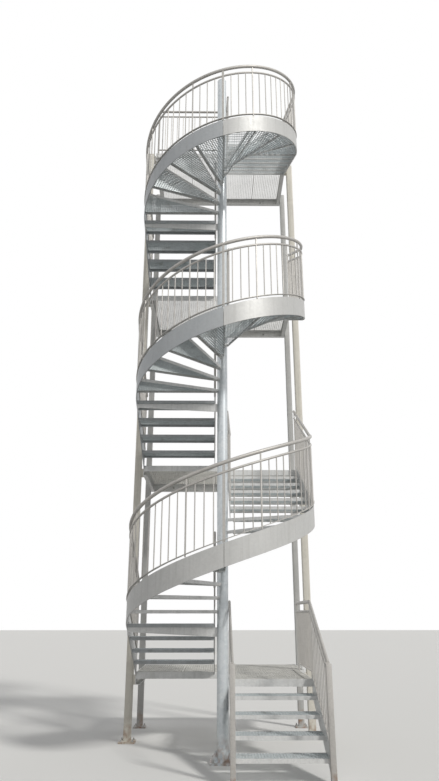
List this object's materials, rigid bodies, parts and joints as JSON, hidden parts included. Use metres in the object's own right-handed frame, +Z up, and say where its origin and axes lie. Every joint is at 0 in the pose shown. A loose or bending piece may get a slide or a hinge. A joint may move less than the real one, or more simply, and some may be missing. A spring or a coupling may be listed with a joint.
{
  "type": "fire escape stair",
  "caption": "Steel fire escape stair: winders round a single column, straight flights to landings with open grating treads and rails.",
  "frame": {"origin": "centre of the column's foot on the ground", "axes": "+X to the right, +Y to the wall, +Z up"},
  "size_m": [2.75, 3.7452, 10.49],
  "materials": {
    "zinc_frame": "weathered galvanised steel",
    "zinc_rail": "dull galvanised tube",
    "grating": "galvanised bar grating"
  },
  "bodies": {
    "root": {"carrying_arms_1": "zinc_frame", "carrying_arms_2": "zinc_frame", "carrying_arms_3": "zinc_frame", "column": "zinc_frame", "column_base": "zinc_frame", "column_cap": "zinc_frame", "ground_railing_inner": "zinc_rail", "ground_railing_outer": "zinc_rail", "ground_strings": "zinc_frame", "ground_treads": "grating", "inner_railing_left_1": "zinc_rail", "inner_railing_left_2": "zinc_rail", "inner_railing_left_3": "zinc_rail", "inner_railing_right_1": "zinc_rail", "inner_railing_right_2": "zinc_rail", "inner_railing_right_3": "zinc_rail", "inner_strings_1": "zinc_frame", "inner_strings_2": "zinc_frame", "inner_strings_3": "zinc_frame", "landing_1_deck": "grating", "landing_1_frame": "zinc_frame", "landing_2_deck": "grating", "landing_2_frame": "zinc_frame", "landing_3_deck": "grating", "landing_3_frame": "zinc_frame", "landing_4_deck": "grating", "landing_4_frame": "zinc_frame", "left_post": "zinc_frame", "left_rear_post": "zinc_frame", "left_treads_1": "grating", "left_treads_2": "grating", "left_treads_3": "grating", "outer_railing_left_1": "zinc_rail", "outer_railing_left_2": "zinc_rail", "outer_railing_left_3": "zinc_rail", "outer_railing_right_1": "zinc_rail", "outer_railing_right_2": "zinc_rail", "outer_railing_right_3": "zinc_rail", "outer_string_left_1": "zinc_frame", "outer_string_left_2": "zinc_frame", "outer_string_left_3": "zinc_frame", "outer_string_right_1": "zinc_frame", "outer_string_right_2": "zinc_frame", "outer_string_right_3": "zinc_frame", "right_post": "zinc_frame", "right_rear_post": "zinc_frame", "right_treads_1": "grating", "right_treads_2": "grating", "right_treads_3": "grating", "top_guard": "zinc_rail", "winders_1": "grating", "winders_2": "grating", "winders_3": "grating"}
  },
  "joints": []
}
